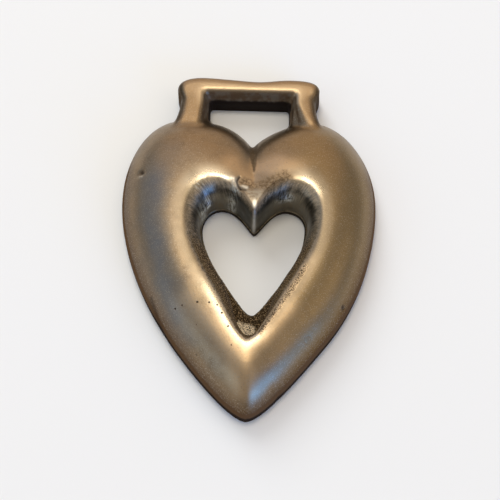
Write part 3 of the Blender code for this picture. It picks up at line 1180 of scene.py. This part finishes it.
# Painted shade: the loop's upright sides darker.
loop_side_shade = loop_mask * fade(facing_up + sway(blotch, 0.1), 0.8, 0.97)
colour = coated(TAN, (
    (soft(cloud, 0.35, 0.7), TAN_GREY),
    (soft(blotch + sway(grain, 0.3), 0.5, 0.75) * 0.45, BROWN),
    # painted reflection: cool grey on the left flank
    (stored("flank_reflection") * (soft(cloud + sway(freckle, 0.3), 0.25, 0.75) * 0.4 + 0.5), REFLECTION_GREY),
    (right_side * 0.6, TAN_OCHRE),
    # painted highlight: lighter tan where the highlight spreads
    (stored("dome_highlight") * 0.8, DOME_HIGHLIGHT_TAN),
    (flank_mask * 0.95, flank_paint),
    (loop_mask, loop_paint),
    # painted highlight on the bar's edge over the slot
    (slot_edge * soft(freckle, 0.05, 0.45) * 0.8, BAR_HIGHLIGHT),
    # painted shade on the loop's upright sides
    (loop_side_shade * 0.7, BROWN),
    (polish_mask * 0.85, painted(worn, CREST_TAN, RUBBED_AND_HIGHLIGHT)),
    # painted shade: darker on the crest's sides, where the highlight stays dim
    (stored("crest_shade") * 0.6, CREST_SHADE_BROWN),
    (stored("scrapes") * soft(grit, 0.45, 0.65) * 0.3, SCRAPED),
    (soft(grit + sway(freckle, 0.5), 0.54, 0.7) * 0.42, BROWN),
    (soft(grit + sway(grain, 0.4), 0.55, 0.68) * 0.4 * (1 - slot_mask), RUBBED_AND_HIGHLIGHT),
    (soft(cast_mask, 0.2, 0.9) * soft(freckle, 0.4, 0.62) * 0.8, BROWN),
))
print("nodes so far:", len(tree.nodes))

# %% Coats of the dish and of the opening's point
DISH_DARK = (0.145, 0.13, 0.1, 1)
DISH_LIGHT = (0.42, 0.37, 0.29, 1)
DISH_LOW = (0.16, 0.125, 0.078, 1)
DISH_HAZE = (0.56, 0.42, 0.27, 1)
DISH_REFLECTION_BLUE = (0.88, 0.96, 1, 1)
DISH_REFLECTION_PALE = (0.72, 0.74, 0.68, 1)
CLEFT_DARK = (0.035, 0.034, 0.024, 1)
POINT_BROWN = (0.04, 0.027, 0.014, 1)
POINT_SPECK = (0.44, 0.3, 0.165, 1)
LEDGE_BROWN = (0.17, 0.115, 0.06, 1)

stroke = soft(streak + sway(freckle, 0.5), 0.36, 0.6)
pale_stroke = soft(streak + sway(blotch, 0.9) + sway(grit, 0.3), 0.34, 0.82)
upper_dish = fade(zone + sway(blotch, 0.6), 2.3, 2.8)
point_specks = soft(grit + sway(grain, 0.4), 0.52, 0.67)
point_paint = coated(POINT_BROWN, (
    (point_specks, POINT_SPECK),
    (point_ledge * soft(grit, 0.35, 0.6), LEDGE_BROWN),
))
dish_paint = coated(DISH_DARK, (
    (pale_stroke, painted(upper_dish, DISH_LOW, DISH_LIGHT)),
    (stored("cleft_sides") * 0.8, CLEFT_DARK),
    (upper_wall * soft(streak + sway(grit, 0.7), 0.12, 0.88), DISH_HAZE),
    # painted reflections in the dish: blue spots and pale spots
    (stored("blue_reflections") * stroke, DISH_REFLECTION_BLUE),
    (stored("pale_reflections") * stroke * 0.7, DISH_REFLECTION_PALE),
    (point_mask, point_paint),
))

# %% Painted highlights on the ridge, sand, rims, grime and painted shade
HIGHLIGHT_CREAM = (0.95, 0.88, 0.74, 1)
RIDGE_REFLECTION_PALE = (0.6, 0.6, 0.58, 1)
SANDY = (1, 0.84, 0.62, 1)
SAND_TAN = (0.68, 0.51, 0.33, 1)
RIM_PATINA_AND_SHADE = (0.125, 0.066, 0.03, 1)
LIP_HIGHLIGHT_TAN = (0.36, 0.28, 0.18, 1)
SLOT_GREY = (0.21, 0.168, 0.12, 1)
BACK_BROWN = (0.1, 0.066, 0.038, 1)
NEAR_BLACK = (0.018, 0.012, 0.009, 1)

ridge_shine = stored("ridge_shine")
ridge_top = stored("ridge_top")
pocket_mask = stored("pocket")
sand_pores = soft(crest_sand_mask, 0.2, 0.8)
sand_pores *= soft(grit + sway(crest_sand_mask, 0.1), 0.49, 0.58)
colour = coated(colour, (
    (dish_mask, dish_paint),
    # painted highlight: the ridge's lighter top
    (ridge_top * soft(freckle, 0.25, 0.55) * 0.8, RUBBED_AND_HIGHLIGHT),
    # painted highlights on the ridge, the crest's end and the flaw
    (soft(ridge_shine, 0.2, 0.85), HIGHLIGHT_CREAM),
    (stored("crest_end") * 0.9, HIGHLIGHT_CREAM),
    (stored("flaw_shine") * 0.9, HIGHLIGHT_CREAM),
    # painted reflection down the ridge
    (stored("ridge_reflection") * 0.8, RIDGE_REFLECTION_PALE),
    (pocket_mask * light_spot * soft(grit, 0.36, 0.56), SANDY),
    # painted shade at the pocket's foot
    (dish_foot_shade * 0.8, NEAR_BLACK),
    (soft(crest_sand_mask, 0.2, 0.7) * 0.7, SAND_TAN),
    (sand_pores * 0.85, POINT_BROWN),
    # rim patina, partly painted shade
    (rim_mask * 0.95, RIM_PATINA_AND_SHADE),
    # painted highlight on the lip
    (lip_highlight_mask * 0.8, LIP_HIGHLIGHT_TAN),
    # grime and painted shade on the opening's edge
    (land_mask * 0.9, NEAR_BLACK),
    (slot_mask, painted(soft(blotch, 0.4, 0.62), BROWN, SLOT_GREY)),
    # painted shade deep in the slot
    (slot_deep, NEAR_BLACK),
    (back_mask, BACK_BROWN),
    # stain and painted shade in the notch
    (notch_stain_shade_mask * 0.75, POINT_BROWN),
    (stored("post_shade") * loop_mask * 0.75, POINT_BROWN),
    # grime and painted contact shadow at the rim's foot
    (rim_grime_and_shadow * 0.9, NEAR_BLACK),
    (dents_mask * 0.9, NEAR_BLACK),
    (stored("burrs") * soft(freckle, 0.35, 0.55) * 0.9, RUBBED_AND_HIGHLIGHT),
    (pits_mask * 0.85, NEAR_BLACK),
    (ring_mask * 0.22 + ring_middle * 0.25, BROWN),
))

# %% Gloss of the coats
FACE_GLOSS = 0.36
BLOTCH_GLOSS = 0.16
GRIT_GLOSS = 0.16
GRIME_SHADE_ROUGH = 0.25
DIRT_ROUGH = 0.45
DIRT_COVER = 0.95

# Grime and painted shade alike are rougher and less metallic.
grime_and_shade_mask = notch_stain_shade_mask * 0.6 + rim_grime_and_shadow + land_mask + dents_mask + slot_deep + back_mask * 0.6
crest_rough = polish_mask * (0.04 - worn * 0.14) + soft(cast_mask, 0.2, 0.8) * 0.16
crest_rough += stored("cleft_crest") * soft(zone, *CLEFT_CREST_ZONE) * 0.3
crest_rough += (soft(ridge_shine, 0.25, 0.8) + ridge_top) * 0.1
dish_rough = dish_mask * (sway(streak, 0.1) + 0.02) + upper_wall * 0.2
corner_rough = (rim_mask + point_mask) * DIRT_ROUGH + sand_mask * 0.08
corner_rough += soft(grime_and_shade_mask, 0, 1) * GRIME_SHADE_ROUGH
roughness = FACE_GLOSS + sway(blotch, BLOTCH_GLOSS) + sway(grit, GRIT_GLOSS)
roughness += crest_rough + dish_rough + corner_rough
dull_mask = (point_mask + rim_mask) * 0.9 + grime_and_shade_mask * 0.8
dull_mask += pocket_mask * 0.15 + slot_mask * 0.5
metallic = 1 - soft(dull_mask, 0, 1) * DIRT_COVER

# %% Scratches and grain as relief
GRAIN_DEPTH = 0.006
FRECKLE_DEPTH = 0.012
STREAK_DEPTH = 0.019
SAND_DEPTH = 0.1
PIT_DEPTH = 0.1
RING_DEPTH = 0.015

relief = grain * GRAIN_DEPTH + freckle * FRECKLE_DEPTH
relief += dish_mask * streak * STREAK_DEPTH + sand_mask * grit * SAND_DEPTH
relief = relief - pits_mask * PIT_DEPTH - ring_mask * RING_DEPTH
bumped = add_node("Bump", {}, {"Height": relief, "Distance": MM})

# %% The shader itself
DIRT_SHEEN = 0.05

skin = add_node("BsdfPrincipled", {}, {
    "Base Color": colour,
    "Roughness": roughness,
    "Metallic": metallic,
    "Specular IOR Level": DIRT_SHEEN,
    "Normal": bumped,
})
add_node("OutputMaterial", {}, {"Surface": skin})
brass.data.materials.clear()
brass.data.materials.append(finish)
print("nodes in the finish:", len(tree.nodes))

# %% Hand the casting to the frame
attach(brass, "root")
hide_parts("horse_brass")
bpy.data.objects.remove(heart)

# %% [markdown]
# ## The table
#
# The brass lies on a sheet of pale paper. Only its shade matters: it has to be light
# without burning out, so that the soft shadow stays visible. A curved backdrop would
# look the same from above.

# %% Lay it on pale paper
FLOOR_HALF = 4
PAPER = (0.86, 0.84, 0.82, 1)
PAPER_ROUGHNESS = 0.9
PAPER_SHEEN = 0.2

floor_mesh = bpy.data.meshes.new("table")
quarters = ((-1, -1), (1, -1), (1, 1), (-1, 1))
corners = [(x * FLOOR_HALF, y * FLOOR_HALF, 0) for x, y in quarters]
floor_mesh.from_pydata(corners, [], [(0, 1, 2, 3)])
table = add_object("table", floor_mesh)
paper = bpy.data.materials.new("pale_paper")
paper.use_nodes = True
set_sockets(
    paper.node_tree.nodes["Principled BSDF"],
    {"Base Color": PAPER, "Roughness": PAPER_ROUGHNESS, "Specular IOR Level": PAPER_SHEEN},
)
floor_mesh.materials.append(paper)

# %% [markdown]
# ## The camera
#
# The camera looks down on the brass from 65 degrees above the table, with a lens long
# enough to keep the outline true. A shorter lens would swell the crest.

# %% Place the camera
CAMERA_TILT = math.radians(25)
CAMERA_ROLL = math.radians(1.5)
CAMERA_DISTANCE = 0.3
CAMERA_TARGET = Vector((0.00055, -0.0008, 0))
CAMERA_LENS = 91.15
NEAREST_SEEN = 0.01

camera = bpy.data.cameras.new("camera")
camera.lens = CAMERA_LENS
camera.clip_start = NEAREST_SEEN
camera_object = add_object("camera", camera)
away = Vector((0, -math.sin(CAMERA_TILT), math.cos(CAMERA_TILT)))
camera_object.matrix_world = (
    Matrix.Translation(CAMERA_TARGET + away * CAMERA_DISTANCE)
    @ Matrix.Rotation(CAMERA_TILT, 4, "X")
    @ Matrix.Rotation(CAMERA_ROLL, 4, "Z")
)
bpy.context.scene.camera = camera_object

# %% [markdown]
# ## Light
#
# Polished metal shows little of its own: it mirrors the room. Here the room is a weak
# even light and six large round lamps far away, each as wide as a wall or a window looks
# from the table. The bluest is daylight from a window on the near right. A seventh lamp
# is linked to the paper alone: it brightens the paper round the shadow of the brass and
# adds nothing to the metal. A picture of a whole room could light the scene too, but
# lamps are plain numbers.

# %% The room's even light
ROOM_COLOUR = (1, 0.97, 0.92, 1)
ROOM_STRENGTH = 0.42

world = bpy.data.worlds.new("studio")
bpy.context.scene.world = world
world.use_nodes = True
room = {"Color": ROOM_COLOUR, "Strength": ROOM_STRENGTH}
set_sockets(world.node_tree.nodes["Background"], room)
bpy.context.scene.view_settings.view_transform = "Standard"

# %% Six round lamps, and one for the paper
Lamp = namedtuple("Lamp", "name azimuth elevation half_angle radiance")
LAMPS = (
    Lamp("far_wall", -1, 28, 33, (0.48, 0.32, 0.18)),
    Lamp("overhead", -12, 75, 12, (6.2, 5.6, 4.4)),
    Lamp("window", 133, 12, 20, (0.35, 1.35, 3.9)),
    Lamp("left", -114, 25, 16.7, (0.52, 0.76, 1.08)),
    Lamp("right", 94, 42, 18.5, (0.55, 0.45, 0.29)),
    Lamp("left_high", -53, 44, 32, (0.03, 0.15, 0.35)),
)
TABLE_LAMP = Lamp("table_lamp", -22, 34, 15, (6.2, 6.85, 7.3))
LAMP_DISTANCE = 3


def hang_lamp(lamp):
    """A disk that faces the brass, with its radiance turned into watts."""
    turn = math.radians(lamp.azimuth)
    rise = math.radians(lamp.elevation)
    level = math.cos(rise)
    way = Vector((math.sin(turn) * level, math.cos(turn) * level, math.sin(rise)))
    radius = LAMP_DISTANCE * math.tan(math.radians(lamp.half_angle))
    light = bpy.data.lights.new(lamp.name, "AREA")
    light.shape = "DISK"
    light.size = 2 * radius
    strongest = max(lamp.radiance)
    light.color = [part / strongest for part in lamp.radiance]
    light.energy = strongest * math.pi * math.pi * radius ** 2
    hung = add_object(lamp.name, light)
    hung.location = way * LAMP_DISTANCE
    hung.rotation_euler = way.to_track_quat("Z", "Y").to_euler()
    hung.visible_camera = False
    return hung


for lamp in LAMPS:
    hang_lamp(lamp)
table_only = bpy.data.collections.new("table_only")
table_only.objects.link(table)
hang_lamp(TABLE_LAMP).light_linking.receiver_collection = table_only
print("lamps:", len(LAMPS) + 1)
